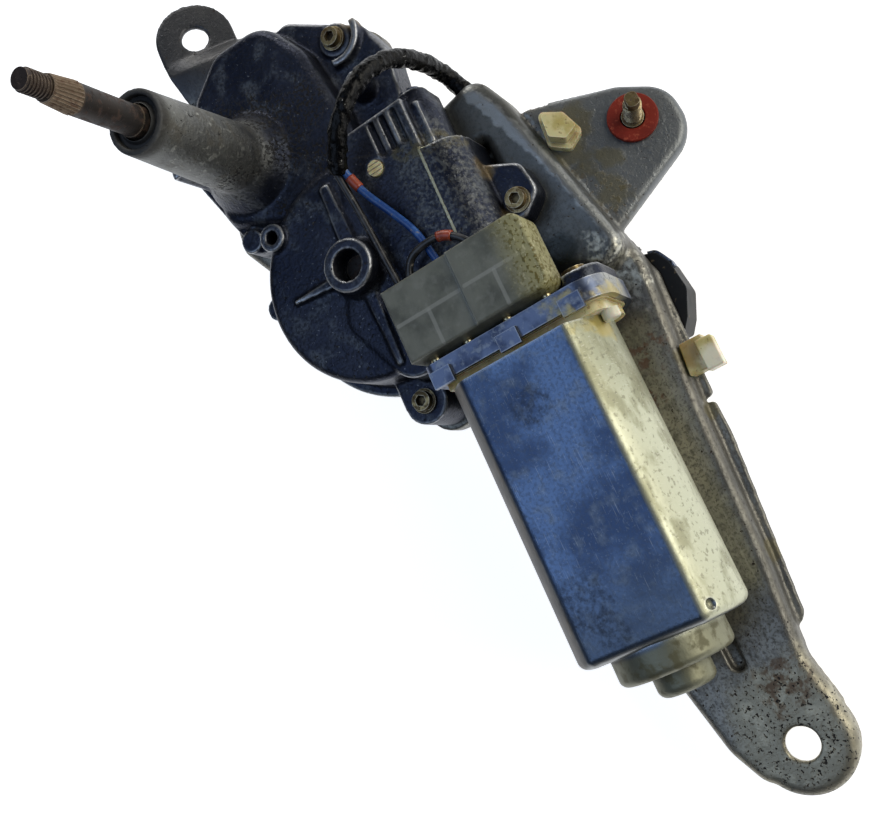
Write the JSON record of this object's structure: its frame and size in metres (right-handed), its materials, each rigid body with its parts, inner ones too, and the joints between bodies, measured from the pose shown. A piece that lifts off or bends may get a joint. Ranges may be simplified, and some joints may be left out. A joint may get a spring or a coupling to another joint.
{
  "type": "windshield wiper motor",
  "caption": "Rear windshield wiper motor: flat-sided can, worm gear case with a tall spindle, clear connector cap, wiring, and a pressed steel bracket with ears.",
  "frame": {"origin": "on the spindle's axis, level with the foot of the spindle tube", "axes": "+Z out along the spindle, +X from the gear case to the motor's tail, +Y from the spindle's side towards the motor and the side ear"},
  "size_m": [0.2908, 0.1363, 0.128],
  "materials": {
    "cast_housing": "rough cast, oxidised",
    "zinc_steel": "zinc plated",
    "gasket": "matte",
    "screw_steel": "yellow zinc, worn",
    "bronze": "sintered, oiled",
    "black_rubber": "matte",
    "spindle_steel": "bare steel, rusted",
    "gear_steel": "machined, greased",
    "nylon": "satin",
    "contact_brass": "bright",
    "can_steel": "grey coated, mottled",
    "cream_plastic": "satin",
    "carbon": "matte",
    "ferrite": "sintered",
    "laminations": "stamped steel",
    "copper": "enamelled",
    "clear_cap": "translucent, yellowed at one end",
    "black_sleeve": "wound tape",
    "blue_insulation": "satin",
    "black_insulation": "satin",
    "bracket_steel": "zinc plated, worn and dulled",
    "red_plastic": "faded",
    "black_plastic": "satin"
  },
  "bodies": {
    "frame": {"gear_housing": "cast_housing", "gear_cover": "zinc_steel", "cover_gasket": "gasket", "cover_screws": "zinc_steel", "bracket_screws": "screw_steel", "spindle_bush_upper": "bronze", "spindle_bush_lower": "bronze", "spindle_seal": "black_rubber", "shaft_washer": "zinc_steel", "park_contacts": "contact_brass", "wheel_axle": "gear_steel", "wheel_washer": "zinc_steel", "motor_can": "can_steel", "end_plate": "zinc_steel", "brush_card": "cream_plastic", "brushes": "carbon", "brush_springs": "zinc_steel", "magnets": "ferrite", "thrust_balls": "gear_steel", "end_stop": "zinc_steel", "worm_bush_front": "bronze", "worm_bush_rear": "bronze", "tail_bush": "bronze", "motor_screws": "screw_steel", "card_rivets": "cream_plastic", "connector_cap": "clear_cap", "terminal_pins": "contact_brass", "vent_plug": "cream_plastic", "harness_sleeve": "black_sleeve", "blue_wire": "blue_insulation", "black_wire": "black_insulation", "black_wire_loop": "black_insulation", "mounting_bracket": "bracket_steel", "mounting_stud": "screw_steel", "red_washer": "red_plastic", "harness_clip_upper": "cream_plastic", "harness_clip_lower": "cream_plastic", "plug_housing": "black_plastic", "plug_lock_plate": "zinc_steel"},
    "armature": {"worm_shaft": "gear_steel", "armature_core": "laminations", "windings": "copper", "commutator": "copper"},
    "wheel": {"worm_wheel": "nylon", "crank_pin": "gear_steel", "contact_disc": "contact_brass"},
    "link": {"link_plate": "gear_steel", "link_pin": "gear_steel"},
    "lever": {"sector_lever": "gear_steel"},
    "output": {"output_shaft": "spindle_steel", "output_pinion": "gear_steel", "shaft_clip": "zinc_steel"}
  },
  "joints": [
    {"name": "armature_spin", "type": "hinge", "parent": "frame", "child": "armature", "pos_m": [0, 0.0511, -0.012], "axis": [1, 0, 0], "range_deg": [0, 9323.82]},
    {"name": "wheel_turn", "type": "hinge", "parent": "frame", "child": "wheel", "pos_m": [0.0474, 0.0206, -0.012], "axis": [0, 0, 1], "range_deg": [0, 182.83]},
    {"name": "link_swing", "type": "hinge", "parent": "frame", "child": "link", "pos_m": [0, 0, -0.018], "axis": [0, 0, 1], "range_deg": [0, 40.47]},
    {"name": "lever_swing", "type": "hinge", "parent": "link", "child": "lever", "pos_m": [0.00795, 0.02502, -0.0216], "axis": [0, 0, 1], "range_deg": [-37.65, 0]},
    {"name": "spindle_turn", "type": "hinge", "parent": "frame", "child": "output", "pos_m": [0, 0, 0], "axis": [0, 0, 1], "range_deg": [0, 96.93]}
  ],
  "couplings": [
    {"joint": "wheel_turn", "follows": "armature_spin", "ratio": 0.019608},
    {"joint": "link_swing", "follows": "armature_spin", "ratio": 0.0043393},
    {"joint": "lever_swing", "follows": "armature_spin", "ratio": -0.0040369},
    {"joint": "spindle_turn", "follows": "armature_spin", "ratio": 0.010395}
  ]
}
